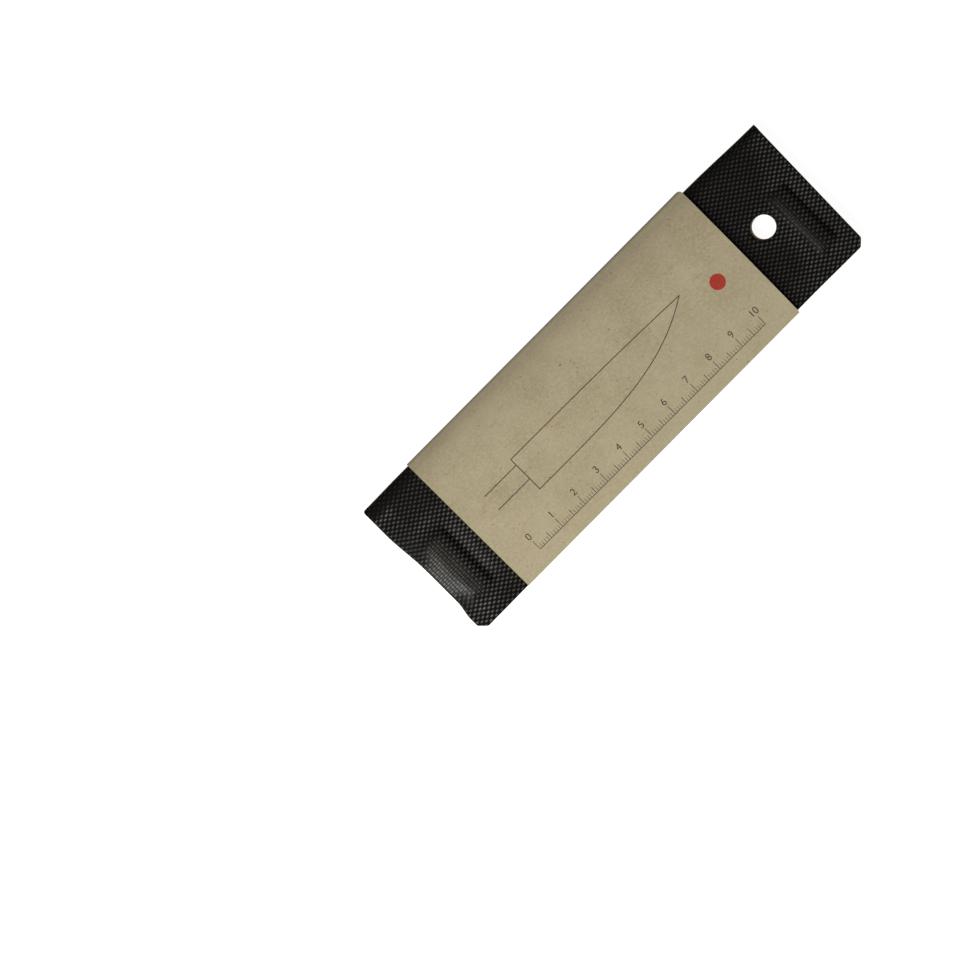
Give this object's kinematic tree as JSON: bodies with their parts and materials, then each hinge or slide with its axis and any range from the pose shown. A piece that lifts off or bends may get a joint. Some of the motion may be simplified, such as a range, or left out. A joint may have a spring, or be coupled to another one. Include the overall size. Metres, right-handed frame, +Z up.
{
  "type": "knife blade guard",
  "caption": "Magnetic knife blade guard: two padded woven leaves joined by a fold, felt lined, with a hang hole and a card jacket that slides off.",
  "frame": {"origin": "centre of the underside of the part's box, on the surface that it lies on", "axes": "+X along the fold towards the tip end with the hang hole, +Y across towards the fold, +Z up through the front leaf"},
  "size_m": [0.173, 0.054, 0.0088],
  "materials": {
    "outer_skin": "black coated fabric with an embossed plain weave, semi-gloss on the weave's crowns",
    "core_board": "brown pressed fibre board",
    "felt": "dark grey short-haired felt",
    "magnet": "dull nickel plate",
    "card": "unbleached kraft card with specks and fibres"
  },
  "bodies": {
    "back_leaf": {"back_outer_skin": "outer_skin", "back_core_board": "core_board", "back_felt_lining": "felt", "back_handle_magnet": "magnet", "back_tip_magnet": "magnet"},
    "fold": {"fold_outer_skin": "outer_skin", "fold_lining": "felt"},
    "front_leaf": {"front_outer_skin": "outer_skin", "front_core_board": "core_board", "front_felt_lining": "felt", "front_handle_magnet": "magnet", "front_tip_magnet": "magnet"},
    "jacket_back": {"jacket_back_panel": "card"},
    "jacket_turn": {"jacket_spine": "card"},
    "jacket_front": {"jacket_front_panel": "card"}
  },
  "joints": [
    {"name": "back_crease", "type": "hinge", "parent": "back_leaf", "child": "fold", "pos_m": [0, 0.02608, 0.0015], "axis": [-1, 0, 0], "range_deg": [0, 90], "deforming": ["fold_outer_skin", "fold_lining"]},
    {"name": "front_crease", "type": "hinge", "parent": "fold", "child": "front_leaf", "pos_m": [0, 0.02608, 0.0073], "axis": [-1, 0, 0], "range_deg": [0, 90]},
    {"name": "jacket_slide", "type": "slide", "parent": "back_leaf", "child": "jacket_back", "axis": [1, 0, 0], "range_m": [0, 0.16]},
    {"name": "jacket_back_crease", "type": "hinge", "parent": "jacket_back", "child": "jacket_turn", "pos_m": [0, 0.02608, 0.0015], "axis": [-1, 0, 0], "range_deg": [0, 90], "deforming": ["jacket_spine"]},
    {"name": "jacket_front_crease", "type": "hinge", "parent": "jacket_turn", "child": "jacket_front", "pos_m": [0, 0.02608, 0.0073], "axis": [-1, 0, 0], "range_deg": [0, 90]}
  ],
  "couplings": [
    {"joint": "front_crease", "follows": "back_crease", "ratio": 1},
    {"joint": "jacket_back_crease", "follows": "back_crease", "ratio": 1},
    {"joint": "jacket_front_crease", "follows": "back_crease", "ratio": 1}
  ]
}
